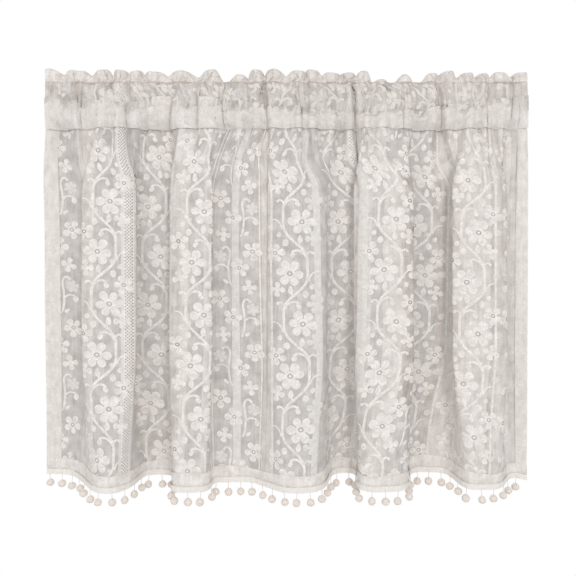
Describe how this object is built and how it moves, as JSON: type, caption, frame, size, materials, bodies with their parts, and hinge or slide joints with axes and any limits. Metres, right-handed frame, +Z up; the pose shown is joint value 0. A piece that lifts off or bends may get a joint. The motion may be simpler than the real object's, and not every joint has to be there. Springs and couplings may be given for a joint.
{
  "type": "lace cafe curtain",
  "caption": "Gathered floral lace cafe curtain with a ruffled rod-pocket heading, soft uneven folds and a pompom-trimmed hem.",
  "frame": {"origin": "centre of the curtain's top edge, on the line of the rod", "axes": "+X along the rod to the viewer's right, +Z up, -Y out into the room"},
  "size_m": [0.7189, 0.075, 0.6303],
  "materials": {
    "doubled_lace": "two layers of warp-knitted lace, matt",
    "lace": "sheer warp-knitted lace, matt",
    "cotton_yarn": "clipped cotton yarn and woven tape"
  },
  "bodies": {
    "root": {"heading": "doubled_lace", "panel": "lace", "pompom_fringe": "cotton_yarn"}
  },
  "joints": []
}
